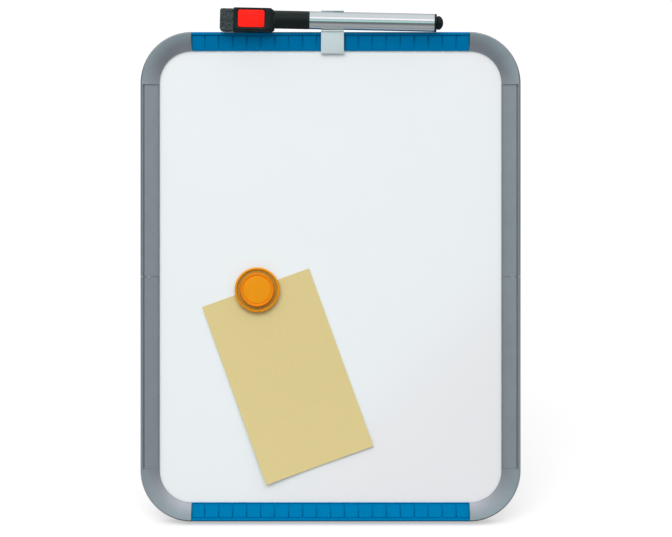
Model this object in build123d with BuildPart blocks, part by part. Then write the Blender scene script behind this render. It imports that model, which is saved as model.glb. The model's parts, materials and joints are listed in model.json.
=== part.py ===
from build123d import *
import os
from math import cos, radians, sin

# Small magnetic whiteboard on a fold-out desk leg, with a marker in a sliding clip.
# +Z is up, +X is to the right of someone facing the board, and the board faces -Y.
# The origin is on the desk, under the middle of the whole object. Sizes are in millimetres.

# ---- Board and frame ----
board_width = 216.6
board_height = 279.0
lean_angle = 15.0
corner_radius = 29.3
bar_width = 11.1
slot_depth_in_bar = 6.0
sheet_thickness = 0.5
core_thickness = 3.0
backing_thickness = 0.4
sheet_edge_gap = 0.3

# Section of a frame bar: distances in from its outer edge, heights from the writing face.
crest_height = 4.0
crest_inset = 1.0
crest_bevel = 0.35
widest_height = -1.0
frame_back = 8.0
inner_lip_height = 1.2
inner_lip_bevel = 0.35
rear_lip_inset = 0.8
rear_bevel = 0.8
socket_inset = 1.7
socket_wall = 1.1
socket_front = 1.6
socket_back = 5.4
socket_end_gap = 0.4

# Long panel sunk into each side of the frame.
side_rim_width = 1.85
side_panel_depth = 0.7
side_inner_rim = 0.6
side_panel_end = 30.25
panel_wall_slope = 0.8
seam_gap = 0.15

# Ribbed rails at the top and bottom, a little smaller in section than the corners.
rail_inset = 0.3
rail_drop = 0.3
rail_rim_width = 1.5
rail_panel_depth = 0.6
rail_inner_rim = 0.5
rail_end_gap = 0.25
rib_pitch = 7.94
rib_groove_count = 19
rib_groove_width = 0.7
rib_groove_depth = 0.4
tongue_length = 4.0
tongue_gap = 0.15

# Keys that join the corner mouldings at mid-height.
key_length = 24.0
key_gap = 0.1

# Flat land along the bottom edge, and the rubber pads under it.
land_depth = 6.5
pad_thickness = 0.8
pad_length = 26.0
pad_depth = 2.6
pad_from_rear = 0.9
pad_spacing = 116.0
pad_bevel = 0.8

# ---- Hinge and leg ----
hinge_up = 54.0
open_angle = 25.0
hinge_axis_depth = 10.6
bracket_width = 66.0
bracket_height = 26.0
bracket_bevel = 4.0
bracket_plate = 2.0
ear_thickness = 3.0
ear_radius = 3.8
ear_root = 15.0
pin_radius = 1.5
pin_bore_gap = 0.02
pin_running_gap = 0.06
pin_proud = 0.6
screw_spacing = 54.0
screw_radius = 1.4
screw_head_radius = 2.6
screw_head_height = 1.6
screw_tip_cover = 0.8
screw_hole_gap = 0.1
leg_thickness = 3.8
leg_top_width = 36.0
leg_foot_width = 64.0
leg_side_gap = 0.4
leg_neck = 12.0
leg_rib = 2.4
leg_pocket_depth = 2.2
leg_cross_ribs = 4
knuckle_radius = 3.4
heel_reach = 12.0
stop_gap = 0.1
shoe_length = 9.0
shoe_sole = 3.0
shoe_wall = 1.4

# ---- Marker clip ----
clip_width = 13.0
clip_from_centre = 1.1
clip_gap = 0.3
clip_wall = 1.5
clip_plate = 1.6
clip_lip_reach = 1.75
clip_lip_clear = 0.4
clip_hook = 1.3
clip_end_slope = 0.8
clip_lip_slope = 0.7
clip_hook_slope = 0.8
clip_rear_blend = 2.0
clip_front_blend = 0.5
ring_overhang = 0.49
ring_forward = 5.7
ring_wall = 0.9
ring_gap = 0.3
ring_mouth_angle = 78.0

# ---- Marker ----
marker_tilt = 1.2
barrel_radius = 4.9
barrel_wall = 0.6
barrel_length = 70.8
barrel_past_clip = 13.0
grip_radius = 4.2
grip_length = 9.0
grip_nose_radius = 2.6
grip_nose_length = 5.0
grip_insert = 4.0
nib_radius = 1.5
nib_tip_radius = 0.75
nib_reach = 3.2
reservoir_gap = 0.3
reservoir_end_gap = 0.5
plug_insert = 8.4
flange_radius = 5.0
flange_thickness = 1.25
knob_radius = 4.0
knob_length = 3.8
knob_slope = 1.6

# ---- Cap, eraser and label ----
cap_roll = 3.0
cap_radius = 5.15
cap_bore_gap = 0.15
cap_sleeve_length = 19.8
cap_bore_end = 1.0
holder_length = 23.1
holder_top = 5.9
holder_bottom = 7.6
holder_front = 6.2
holder_back = 6.4
holder_front_round = 1.6
holder_back_round = 6.2
holder_end_slope = 2.2
holder_end_fall = 1.4
eraser_reach = 7.6
eraser_in_holder = 6.0
eraser_shy = 0.75
eraser_front = 5.2
eraser_back = 2.0
eraser_round = 2.0
label_length = 15.0
label_height = 9.9
label_thickness = 0.3
label_round = 1.2
label_past_middle = 1.55
label_above_middle = 0.35
label_frame = 0.9
label_seat_depth = 0.45
cap_magnet_side = 5.5
cap_magnet_thickness = 2.0
cap_magnet_cover = 0.9

# ---- Note and planning magnet ----
note_width = 64.7
note_length = 107.5
note_thickness = 0.3
note_turn = 19.9
note_x = -24.4
note_above_rail = 71.55
magnet_right_of_note = -17.3
magnet_above_note = 49.3
magnet_radius = 12.8
magnet_base = 3.0
magnet_rim_width = 1.6
magnet_channel_depth = 1.1
magnet_neck_radius = 9.3
magnet_height = 7.4
magnet_top_slope = 1.6
disc_radius = 8.5
disc_thickness = 2.4

# ---- Places worked out from the sizes above ----
lean = radians(lean_angle)
half_width = board_width / 2
half_height = board_height / 2
panel_back = sheet_thickness + core_thickness + backing_thickness
slot_inset = bar_width - slot_depth_in_bar
socket_width = slot_inset - socket_inset - socket_wall
land_cut = land_depth * sin(lean) * cos(lean)
centre_height = pad_thickness - land_cut + half_height * cos(lean) + frame_back * sin(lean)

leg_lean = radians(open_angle - lean_angle)
hinge_height = centre_height + hinge_up * cos(lean) - hinge_axis_depth * sin(lean)
hinge_behind_centre = hinge_up * sin(lean) + hinge_axis_depth * cos(lean)
leg_reach = hinge_height / cos(leg_lean)
shoe_back = leg_thickness / 2 + shoe_wall
foremost = -(half_height - crest_inset) * sin(lean) - crest_height * cos(lean)
rearmost = hinge_behind_centre + hinge_height * sin(leg_lean) / cos(leg_lean) + shoe_back / cos(leg_lean)
centre_back = -(foremost + rearmost) / 2

board = Plane(origin=(0, centre_back, centre_height), x_dir=(1, 0, 0), z_dir=(0, -cos(lean), sin(lean)))
upright_middle = Plane(board.origin, x_dir=board.y_dir, z_dir=board.x_dir)
level_middle = Plane(board.origin, x_dir=board.x_dir, z_dir=board.y_dir)
desk_land = Plane.XY.offset(pad_thickness)


def on_board(x, y, z=0.0):
    """Point given across the board, up the board and out of its writing face."""
    return board.from_local_coords(Vector(x, y, z))


def screw_spots():
    """Where the bracket's screws go, on a sketch that lies flat on the board."""
    return GridLocations(screw_spacing, 0, 2, 1)


def finish(builder, name):
    builder.part.label = name
    export_step(builder.part, f"parts/{name}.step")


os.makedirs("parts", exist_ok=True)

# ---- Writing sheet, core and backing ----
panel_edge = slot_inset + sheet_edge_gap
panel_size = (board_width - 2 * panel_edge, board_height - 2 * panel_edge)
panel_round = corner_radius - panel_edge
hinge_spot = (0, hinge_up)

with BuildPart() as writing_sheet:
    with BuildSketch(board):
        RectangleRounded(*panel_size, panel_round)
    extrude(amount=-sheet_thickness)
finish(writing_sheet, "writing_sheet")

with BuildPart() as board_core:
    with BuildSketch(board.offset(-sheet_thickness)):
        RectangleRounded(*panel_size, panel_round)
    extrude(amount=-core_thickness)
    with BuildSketch(board.offset(-panel_back)):
        with Locations(hinge_spot):
            with screw_spots():
                Circle(screw_radius)
    extrude(amount=panel_back - sheet_thickness - screw_tip_cover, mode=Mode.SUBTRACT)
finish(board_core, "board_core")

with BuildPart() as backing_sheet:
    with BuildSketch(board.offset(-panel_back)):
        RectangleRounded(*panel_size, panel_round)
        with Locations(hinge_spot):
            with screw_spots():
                Circle(screw_radius, mode=Mode.SUBTRACT)
    extrude(amount=backing_thickness)
finish(backing_sheet, "backing_sheet")


# ---- Frame ----
def face_height(distance, inset, drop):
    """Height of the sloping front face, at a distance in from the corner mouldings' outer edge."""
    crest = inset + crest_inset
    fall = crest_height - drop - inner_lip_height
    return crest_height - drop - fall * (distance - crest) / (bar_width - crest)


def bar_section(inset, drop):
    """Section of a frame bar, with the slot that grips the panel."""
    rear_lip = bar_width - rear_lip_inset
    crest = (inset + crest_inset, crest_height - drop)
    with BuildSketch() as section:
        Polygon(
            (bar_width, inner_lip_height),
            (bar_width, 0),
            (slot_inset, 0),
            (slot_inset, -panel_back),
            (rear_lip, -panel_back),
            (rear_lip, -frame_back),
            (inset, -frame_back),
            (inset, widest_height),
            crest,
            align=None,
        )
        chamfer(section.vertices().filter_by_position(Axis.Y, -frame_back, -frame_back), rear_bevel)
        chamfer(section.vertices().sort_by_distance((bar_width, inner_lip_height))[0], inner_lip_bevel)
        chamfer(section.vertices().sort_by_distance(crest)[0], crest_bevel)
    return section.sketch


def panel_section(inset, drop, rim, inner_rim, depth):
    """What is cut out of a bar's face for a sunk panel, between its outer rim and its inner rim."""
    outer = inset + rim
    foot = outer + panel_wall_slope
    inner = bar_width - inner_rim
    with BuildSketch() as section:
        Polygon(
            (outer, face_height(outer, inset, drop)),
            (foot, face_height(foot, inset, drop) - depth),
            (inner, face_height(inner, inset, drop) - depth),
            (inner, crest_height),
            (outer, crest_height),
            align=None,
        )
    return section.sketch


socket_middle = (socket_inset + socket_width / 2, (socket_front - socket_back) / 2)
socket_height = socket_front + socket_back
corner_section = bar_section(0, 0)
side_panel_section = panel_section(0, 0, side_rim_width, side_inner_rim, side_panel_depth)
rail_section = bar_section(rail_inset, rail_drop)
rail_panel_section = panel_section(rail_inset, rail_drop, rail_rim_width, rail_inner_rim, rail_panel_depth)

side_plane = Plane(on_board(half_width, seam_gap / 2), x_dir=-board.x_dir, z_dir=board.y_dir)
top_edge_plane = Plane(on_board(0, half_height), x_dir=-board.y_dir, z_dir=-board.x_dir)
with BuildPart() as corner_moulding:
    with BuildSketch(side_plane):
        add(corner_section)
    with BuildLine(board):
        side = Line((half_width, seam_gap / 2), (half_width, half_height - corner_radius))
        TangentArc(side @ 1, (half_width - corner_radius, half_height), tangent=side % 1)
    sweep()
    with BuildSketch(side_plane):
        add(side_panel_section)
    extrude(amount=half_height - side_panel_end, mode=Mode.SUBTRACT)
    # Sockets for the key in the side and for the rail's tongue.
    with BuildSketch(side_plane):
        with Locations(socket_middle):
            Rectangle(socket_width, socket_height)
    extrude(amount=key_length / 2 + socket_end_gap, mode=Mode.SUBTRACT)
    with BuildSketch(top_edge_plane.offset(corner_radius - half_width)):
        with Locations(socket_middle):
            Rectangle(socket_width, socket_height)
    extrude(amount=-tongue_length - socket_end_gap, mode=Mode.SUBTRACT)

with BuildPart() as upper_right_corner:
    add(corner_moulding.part)
finish(upper_right_corner, "upper_right_corner")

with BuildPart() as upper_left_corner:
    add(corner_moulding.part)
    mirror(about=upright_middle, mode=Mode.REPLACE)
finish(upper_left_corner, "upper_left_corner")

with BuildPart() as lower_right_corner:
    add(corner_moulding.part)
    mirror(about=level_middle, mode=Mode.REPLACE)
    split(bisect_by=desk_land, keep=Keep.TOP)
finish(lower_right_corner, "lower_right_corner")

with BuildPart() as lower_left_corner:
    add(lower_right_corner.part)
    mirror(about=upright_middle, mode=Mode.REPLACE)
finish(lower_left_corner, "lower_left_corner")

with BuildPart() as side_joiners:
    with BuildSketch(side_plane.offset(-seam_gap / 2)):
        with Locations(socket_middle):
            Rectangle(socket_width - 2 * key_gap, socket_height - 2 * key_gap)
    extrude(amount=key_length / 2, both=True)
    mirror(about=upright_middle)
finish(side_joiners, "side_joiners")

# The ribbed rail: narrow grooves run down its sunk panel and out through the inner rim.
rail_reach = half_width - corner_radius - rail_end_gap
groove_start = rail_inset + rail_rim_width + panel_wall_slope
groove_sink = rail_panel_depth + rib_groove_depth
groove_top = on_board(0, half_height - groove_start, face_height(groove_start, rail_inset, rail_drop))
groove_end = on_board(0, half_height - bar_width, face_height(bar_width, rail_inset, rail_drop))
groove_line = groove_end - groove_top
groove_plane = Plane(groove_top, x_dir=board.x_dir, z_dir=groove_line)

with BuildPart() as top_rail:
    with BuildSketch(top_edge_plane):
        add(rail_section)
        add(rail_panel_section, mode=Mode.SUBTRACT)
    extrude(amount=rail_reach, both=True)
    with BuildSketch(groove_plane):
        with GridLocations(rib_pitch, 0, rib_groove_count, 1):
            Rectangle(rib_groove_width, 2 * groove_sink)
    extrude(amount=groove_line.length, mode=Mode.SUBTRACT)
    with BuildSketch(top_edge_plane):
        with Locations(socket_middle):
            Rectangle(socket_width - 2 * tongue_gap, socket_height - 2 * tongue_gap)
    extrude(amount=rail_reach + tongue_length, both=True)
finish(top_rail, "top_rail")

with BuildPart() as bottom_rail:
    add(top_rail.part)
    mirror(about=level_middle, mode=Mode.REPLACE)
    split(bisect_by=desk_land, keep=Keep.TOP)
finish(bottom_rail, "bottom_rail")

land_rear = on_board(0, land_cut / cos(lean) - half_height, -frame_back)
with BuildPart() as desk_pads:
    with BuildSketch(Plane.XY):
        with Locations((0, land_rear.Y - pad_from_rear - pad_depth / 2)):
            with GridLocations(pad_spacing, 0, 2, 1):
                Rectangle(pad_length, pad_depth)
    extrude(amount=pad_thickness)
    chamfer(desk_pads.edges().filter_by(Axis.Z), pad_bevel)
finish(desk_pads, "desk_pads")

# ---- Hinge ----
hinge_point = on_board(0, hinge_up, -hinge_axis_depth)
hinge_section = Plane(hinge_point, x_dir=board.y_dir, z_dir=board.x_dir)
bracket_face = board.offset(-panel_back - bracket_plate)
ear_rise = hinge_axis_depth - panel_back - bracket_plate
ear_offset = leg_top_width / 2 + leg_side_gap + ear_thickness / 2

with BuildPart() as hinge_bracket:
    with BuildSketch(board.offset(-panel_back)):
        with Locations(hinge_spot):
            bracket_outline = Rectangle(bracket_width, bracket_height)
        chamfer(bracket_outline.vertices(), bracket_bevel)
    extrude(amount=-bracket_plate)
    with BuildSketch(hinge_section.offset(ear_offset), hinge_section.offset(-ear_offset)):
        with BuildLine():
            Polyline((ear_root / 2, ear_rise), (-ear_root / 2, ear_rise))
            CenterArc((0, 0), ear_radius, 180, 180)
        make_hull()
    extrude(amount=ear_thickness / 2, both=True)
    with BuildSketch(hinge_section):
        Circle(pin_radius + pin_bore_gap)
    extrude(amount=bracket_width / 2, both=True, mode=Mode.SUBTRACT)
    with BuildSketch(bracket_face):
        with Locations(hinge_spot):
            with screw_spots():
                Circle(screw_radius + screw_hole_gap)
    extrude(amount=bracket_plate, mode=Mode.SUBTRACT)
finish(hinge_bracket, "hinge_bracket")

with BuildPart() as bracket_screws:
    with BuildSketch(bracket_face):
        with Locations(hinge_spot):
            with screw_spots():
                Circle(screw_radius)
    extrude(amount=panel_back + bracket_plate - sheet_thickness - screw_tip_cover)
    with BuildSketch(bracket_face):
        with Locations(hinge_spot):
            with screw_spots():
                Circle(screw_head_radius)
    extrude(amount=-screw_head_height)
finish(bracket_screws, "bracket_screws")

with BuildPart() as hinge_pin:
    with BuildSketch(hinge_section):
        Circle(pin_radius)
    extrude(amount=ear_offset + ear_thickness / 2 + pin_proud, both=True)
finish(hinge_pin, "hinge_pin")

# ---- Leg ----
leg = Plane(hinge_point, x_dir=(1, 0, 0), z_dir=(0, -cos(leg_lean), -sin(leg_lean)))
leg_section = Plane(leg.origin, x_dir=leg.y_dir, z_dir=leg.x_dir)
leg_end = leg_reach - shoe_sole
half_leg = leg_thickness / 2
shoulder = leg_end - shoe_length + shoe_sole

with BuildPart() as easel_leg:
    with BuildSketch(leg.offset(-half_leg)):
        Polygon(
            (-leg_top_width / 2, heel_reach),
            (leg_top_width / 2, heel_reach),
            (leg_top_width / 2, -leg_neck),
            (leg_foot_width / 2, -shoulder),
            (leg_foot_width / 2, -leg_end),
            (-leg_foot_width / 2, -leg_end),
            (-leg_foot_width / 2, -shoulder),
            (-leg_top_width / 2, -leg_neck),
            align=None,
        )
    extrude(amount=leg_thickness)
    with BuildSketch(leg_section):
        Circle(knuckle_radius)
    extrude(amount=leg_top_width / 2, both=True)
    # Pockets hollowed between the rim and the cross ribs.
    pocket_top = leg_neck
    pocket_bottom = shoulder - leg_rib
    pocket_length = (pocket_bottom - pocket_top - leg_cross_ribs * leg_rib) / (leg_cross_ribs + 1)
    with BuildSketch(leg.offset(half_leg)):
        for step in range(leg_cross_ribs + 1):
            top = pocket_top + step * (pocket_length + leg_rib)
            bottom = top + pocket_length
            spread = (leg_foot_width - leg_top_width) / 2 / (shoulder - leg_neck)
            top_half = leg_top_width / 2 + (top - leg_neck) * spread - leg_rib
            bottom_half = leg_top_width / 2 + (bottom - leg_neck) * spread - leg_rib
            Polygon(
                (-top_half, -top),
                (top_half, -top),
                (bottom_half, -bottom),
                (-bottom_half, -bottom),
                align=None,
            )
    extrude(amount=-leg_pocket_depth, mode=Mode.SUBTRACT)
    with BuildSketch(leg_section):
        Circle(pin_radius + pin_running_gap)
    extrude(amount=leg_top_width, both=True, mode=Mode.SUBTRACT)
    # Step for the rubber shoe's front wall, and the heel that stops against the bracket.
    with BuildSketch(leg.offset(half_leg)):
        with Locations((0, -leg_end)):
            Rectangle(leg_foot_width, leg_end - shoulder, align=(Align.CENTER, Align.MIN))
    extrude(amount=-shoe_wall, mode=Mode.SUBTRACT)
    split(bisect_by=board.offset(-panel_back - bracket_plate - stop_gap), keep=Keep.BOTTOM)
finish(easel_leg, "easel_leg")

with BuildPart() as leg_foot:
    with BuildSketch(leg_section):
        with Locations((-leg_end - 2 * shoe_sole, -half_leg - shoe_wall)):
            Rectangle(shoe_length + shoe_sole, leg_thickness + shoe_wall, align=(Align.MIN, Align.MIN))
        with Locations((-leg_end, -half_leg)):
            Rectangle(
                shoe_length,
                leg_thickness - shoe_wall,
                align=(Align.MIN, Align.MIN),
                mode=Mode.SUBTRACT,
            )
    extrude(amount=leg_foot_width / 2, both=True)
    split(bisect_by=Plane.XY, keep=Keep.TOP)
finish(leg_foot, "leg_foot")

# ---- Marker clip ----
rail_top = half_height - rail_inset
rail_crest = (rail_top - crest_inset, crest_height - rail_drop)
lip_edge = half_height - bar_width
ring_inner = barrel_radius + ring_gap
ring_outer = ring_inner + ring_wall
ring_centre = (half_height + ring_outer - ring_overhang, ring_forward)
clip_section = upright_middle.offset(clip_from_centre)
plate_slope = (rail_crest[1] - inner_lip_height) / (rail_crest[0] - lip_edge)
plate_foot = (lip_edge - clip_lip_clear, inner_lip_height + clip_gap)
plate_head = (rail_top + clip_gap, rail_crest[1] + 2 * clip_gap + plate_slope * clip_gap)
plate_end = lip_edge - clip_lip_reach
strap_front = -frame_back - clip_gap
strap_top = rail_top + clip_gap + clip_wall
hook_root = lip_edge + rear_lip_inset - clip_gap
mouth_half = radians(ring_mouth_angle)
mouth_reach = 2 * ring_outer

with BuildPart() as marker_clip:
    with BuildSketch(clip_section) as clip_outline:
        with Locations(ring_centre):
            Circle(ring_outer)
        # Front plate, with a lip that hooks round the rail's inner edge.
        Polygon(
            plate_head,
            plate_foot,
            (plate_foot[0], clip_lip_clear),
            (plate_end, clip_lip_clear),
            (plate_end, plate_foot[1] + clip_plate - clip_lip_slope),
            (plate_end + clip_end_slope, plate_foot[1] + clip_plate),
            (plate_head[0], plate_head[1] + clip_plate),
            align=None,
        )
        # Strap over the rail and down its back, with the rear hook.
        Polygon(
            (rail_top + clip_gap, plate_head[1]),
            (rail_top + clip_gap, strap_front),
            (hook_root, strap_front),
            (hook_root, strap_front + clip_hook),
            (hook_root - clip_hook_slope, strap_front + clip_hook),
            (hook_root - 2 * clip_hook_slope, strap_front),
            (hook_root - 2 * clip_hook_slope, strap_front - clip_wall),
            (strap_top - clip_end_slope, strap_front - clip_wall),
            (strap_top, strap_front - clip_wall + clip_end_slope),
            (strap_top, plate_head[1]),
            align=None,
        )
        with Locations(ring_centre):
            Circle(ring_inner, mode=Mode.SUBTRACT)
            Polygon(
                (0, 0),
                (-mouth_reach * sin(mouth_half), mouth_reach * cos(mouth_half)),
                (-mouth_reach, mouth_reach),
                (mouth_reach, mouth_reach),
                (mouth_reach * sin(mouth_half), mouth_reach * cos(mouth_half)),
                align=None,
                mode=Mode.SUBTRACT,
            )
        fillet(clip_outline.vertices().sort_by_distance((strap_top, 0))[0], clip_rear_blend)
        fillet(clip_outline.vertices().sort_by_distance((rail_crest[0], ring_forward))[0], clip_front_blend)
    extrude(amount=clip_width / 2, both=True)
finish(marker_clip, "marker_clip")

# ---- Marker ----
tilt = radians(marker_tilt)
pen_direction = board.x_dir * cos(tilt) - board.y_dir * sin(tilt)
cap_seat = on_board(clip_from_centre, *ring_centre) - pen_direction * barrel_past_clip
pen = Plane(cap_seat, x_dir=pen_direction, z_dir=board.z_dir)
pen_axis = Axis(pen.origin, pen.x_dir)
tube_bore = barrel_radius - barrel_wall

with BuildPart() as marker_barrel:
    with BuildSketch(pen):
        with BuildLine():
            Polyline(
                (0, tube_bore),
                (0, barrel_radius),
                (barrel_length, barrel_radius),
                (barrel_length, tube_bore),
                close=True,
            )
        make_face()
    revolve(axis=pen_axis)
finish(marker_barrel, "marker_barrel")

nose_end = grip_length + grip_nose_length
reservoir_radius = tube_bore - 2 * reservoir_gap

with BuildPart() as nib_holder:
    with BuildSketch(pen):
        with BuildLine():
            Polyline(
                (grip_insert, nib_radius),
                (-nose_end, nib_radius),
                (-nose_end, grip_nose_radius),
                (-grip_length, grip_nose_radius),
                (-grip_length, grip_radius),
                (0, grip_radius),
                (0, tube_bore),
                (grip_insert, tube_bore),
                (grip_insert, nib_radius),
            )
        make_face()
    revolve(axis=pen_axis)
finish(nib_holder, "nib_holder")

with BuildPart() as marker_nib:
    with BuildSketch(pen):
        with BuildLine():
            nib_end = nose_end + nib_reach
            Polyline(
                (-nib_end, 0),
                (grip_insert, 0),
                (grip_insert, nib_radius),
                (nib_tip_radius - nib_end, nib_radius),
                (-nib_end, nib_tip_radius),
                close=True,
            )
        make_face()
    revolve(axis=pen_axis)
finish(marker_nib, "marker_nib")

plug_start = barrel_length - plug_insert
with BuildPart() as ink_reservoir:
    with BuildSketch(Plane(pen.origin + pen.x_dir * grip_insert, x_dir=pen.y_dir, z_dir=pen.x_dir)):
        Circle(reservoir_radius)
    extrude(amount=plug_start - reservoir_end_gap - grip_insert)
finish(ink_reservoir, "ink_reservoir")

with BuildPart() as end_plug:
    with BuildSketch(pen):
        with BuildLine():
            knob_start = barrel_length + flange_thickness
            knob_end = knob_start + knob_length
            Polyline(
                (knob_end, 0),
                (plug_start, 0),
                (plug_start, tube_bore),
                (barrel_length, tube_bore),
                (barrel_length, flange_radius),
                (knob_start, flange_radius),
                (knob_start, knob_radius),
                (knob_end - knob_slope, knob_radius),
                (knob_end, knob_radius - knob_slope),
                close=True,
            )
        make_face()
    revolve(axis=pen_axis)
finish(end_plug, "end_plug")

# ---- Cap with its eraser holder ----
roll = radians(cap_roll)
cap_front = pen.z_dir * cos(roll) + pen.y_dir * sin(roll)
cap = Plane(pen.origin, x_dir=pen.x_dir, z_dir=cap_front)
cap_section = Plane(cap.origin, x_dir=cap.y_dir, z_dir=cap.x_dir)
cap_bore = grip_radius + cap_bore_gap
holder_end = cap_sleeve_length + holder_length
holder_middle = cap_sleeve_length + holder_length / 2
holder_height = holder_top + holder_bottom
holder_rise = (holder_top - holder_bottom) / 2
label_spot = (-holder_middle - label_past_middle, holder_rise + label_above_middle)
eraser_height = holder_height - 2 * eraser_shy
cap_magnet_spot = (eraser_in_holder / 2 - holder_middle, holder_rise)

with BuildPart() as marker_cap:
    with BuildSketch(cap_section.offset(-holder_end)) as holder_outline:
        Polygon(
            (-holder_bottom, -holder_back),
            (holder_top, -holder_back),
            (holder_top, holder_front),
            (-holder_bottom, holder_front),
            align=None,
        )
        fillet(holder_outline.vertices().group_by(Axis.Y)[0], holder_back_round)
        fillet(holder_outline.vertices().group_by(Axis.Y)[-1], holder_front_round)
    extrude(amount=holder_length)
    sleeve_face = marker_cap.faces().sort_by(Axis(pen.origin, pen.x_dir))[-1]
    chamfer(sleeve_face.edges(), holder_end_fall, holder_end_slope, reference=sleeve_face)
    with BuildSketch(cap_section):
        Circle(cap_radius)
    extrude(amount=-cap_sleeve_length)
    with BuildSketch(cap_section):
        Circle(cap_bore)
    extrude(amount=cap_bore_end - cap_sleeve_length, mode=Mode.SUBTRACT)
    # Pocket for the felt, seat for the label, and the closed pocket of the magnet.
    with BuildSketch(cap_section.offset(-holder_end)):
        with Locations((holder_rise, -eraser_back)):
            Rectangle(eraser_height, eraser_front + eraser_back, align=(Align.CENTER, Align.MIN))
    extrude(amount=eraser_in_holder, mode=Mode.SUBTRACT)
    with BuildSketch(cap.offset(holder_front)):
        with Locations(label_spot):
            RectangleRounded(
                label_length + 2 * label_frame,
                label_height + 2 * label_frame,
                label_round + label_frame,
            )
    extrude(amount=-label_seat_depth, mode=Mode.SUBTRACT)
    with BuildSketch(cap.offset(cap_magnet_cover - holder_back)):
        with Locations(cap_magnet_spot):
            Rectangle(cap_magnet_side, cap_magnet_side)
    extrude(amount=cap_magnet_thickness, mode=Mode.SUBTRACT)
finish(marker_cap, "marker_cap")

with BuildPart() as cap_magnet:
    with BuildSketch(cap.offset(cap_magnet_cover - holder_back)):
        with Locations(cap_magnet_spot):
            Rectangle(cap_magnet_side, cap_magnet_side)
    extrude(amount=cap_magnet_thickness)
finish(cap_magnet, "cap_magnet")

with BuildPart() as cap_label:
    with BuildSketch(cap.offset(holder_front - label_seat_depth)):
        with Locations(label_spot):
            RectangleRounded(label_length, label_height, label_round)
    extrude(amount=label_thickness)
finish(cap_label, "cap_label")

with BuildPart() as eraser_felt:
    with BuildSketch(cap.offset(-eraser_back)) as felt_outline:
        with Locations((-holder_end - eraser_reach, holder_rise)):
            Rectangle(eraser_reach + eraser_in_holder, eraser_height, align=(Align.MIN, Align.CENTER))
        fillet(felt_outline.vertices().sort_by_distance((-2 * holder_end, -holder_end))[0], eraser_round)
    extrude(amount=eraser_front + eraser_back)
finish(eraser_felt, "eraser_felt")

# ---- Note and planning magnet ----
note_y = bar_width - half_height + note_above_rail
magnet_spot = (note_x + magnet_right_of_note, note_y + magnet_above_note)
with BuildPart() as note_card:
    with BuildSketch(board):
        with Locations(Location((note_x, note_y), note_turn)):
            Rectangle(note_width, note_length)
    extrude(amount=note_thickness)
finish(note_card, "note_card")

magnet_foot = Plane(on_board(*magnet_spot, note_thickness), x_dir=board.x_dir, z_dir=board.z_dir)
magnet_profile = Plane(magnet_foot.origin, x_dir=board.x_dir, z_dir=-board.y_dir)
magnet_axis = Axis(magnet_foot.origin, board.z_dir)
channel_floor = magnet_base - magnet_channel_depth
channel_outer = magnet_radius - magnet_rim_width

with BuildPart() as magnet_knob:
    with BuildSketch(magnet_profile):
        with BuildLine():
            Polyline(
                (0, disc_thickness),
                (disc_radius, disc_thickness),
                (disc_radius, 0),
                (magnet_radius, 0),
                (magnet_radius, magnet_base),
                (channel_outer, magnet_base),
                (channel_outer, channel_floor),
                (magnet_neck_radius, channel_floor),
                (magnet_neck_radius, magnet_height - magnet_top_slope),
                (magnet_neck_radius - magnet_top_slope, magnet_height),
                (0, magnet_height),
                close=True,
            )
        make_face()
    revolve(axis=magnet_axis)
finish(magnet_knob, "magnet_knob")

with BuildPart() as magnet_disc:
    with BuildSketch(magnet_foot):
        Circle(disc_radius)
    extrude(amount=disc_thickness)
finish(magnet_disc, "magnet_disc")
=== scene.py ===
import json
import math
import random

import bmesh
import bpy
from mathutils import Matrix, Vector


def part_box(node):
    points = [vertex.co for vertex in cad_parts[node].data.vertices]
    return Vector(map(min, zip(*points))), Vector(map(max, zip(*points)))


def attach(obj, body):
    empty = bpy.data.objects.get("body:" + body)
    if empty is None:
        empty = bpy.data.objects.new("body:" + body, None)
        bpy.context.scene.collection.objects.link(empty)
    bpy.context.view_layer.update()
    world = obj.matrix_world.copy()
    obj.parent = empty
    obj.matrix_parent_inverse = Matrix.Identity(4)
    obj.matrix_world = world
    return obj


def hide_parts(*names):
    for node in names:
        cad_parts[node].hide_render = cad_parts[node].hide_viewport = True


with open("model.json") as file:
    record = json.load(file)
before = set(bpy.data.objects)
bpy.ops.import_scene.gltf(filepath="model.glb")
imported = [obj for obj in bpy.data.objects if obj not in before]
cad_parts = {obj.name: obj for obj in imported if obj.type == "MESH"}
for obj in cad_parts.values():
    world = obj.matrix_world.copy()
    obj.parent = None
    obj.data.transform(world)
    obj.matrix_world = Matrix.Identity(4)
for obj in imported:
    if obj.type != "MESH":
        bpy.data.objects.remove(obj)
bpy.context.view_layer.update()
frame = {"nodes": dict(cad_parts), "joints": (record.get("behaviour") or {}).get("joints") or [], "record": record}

MM = 0.001

# ---- Directions on the board: to the right, up the board and out of its face ----
travel = {joint["name"]: Vector(joint["axis"]).normalized() for joint in frame["joints"]}
RIGHT = travel["clip_slide"]
OUT = travel["marker_pull"]
UP = OUT.cross(RIGHT)


def middle(node):
    low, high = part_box(node)
    return (low + high) / 2


# ---- Sizes in millimetres ----
HALF_WIDTH = 108.3
HALF_HEIGHT = 139.5
SHEET_THICKNESS = 0.5
PANEL_BACK = 3.9
BAR_WIDTH = 11.1
CORNER_RADIUS = 29.3
SLOT_INSET = 5.1
REAR_LIP = 10.3
FRAME_BACK = 8.0
CREST_INSET = 1.0
CREST_HEIGHT = 4.0
WIDEST_HEIGHT = -1.0
LIP_HEIGHT = 1.2
SEAM = 0.075
PANEL_END = 109.25
RAIL_REACH = 78.75
RAIL_INSET = 0.06
RAIL_DROP = 0.3
RIB_PITCH = 7.94
RIBS = 19
PANEL_RAMP = 0.3
CORNER_RIM = 1.75
RAIL_RIM = 2.1
DESK_LAND = 0.8
CLIP_CENTRE = (1.1, 145.11, 5.7)
CLIP_TO_CAP = 13.0
BARREL_LENGTH = 70.8
BARREL_RADIUS = 5.08
PLUG_RADIUS = 5.1
PLUG_TIP = 72.9
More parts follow.
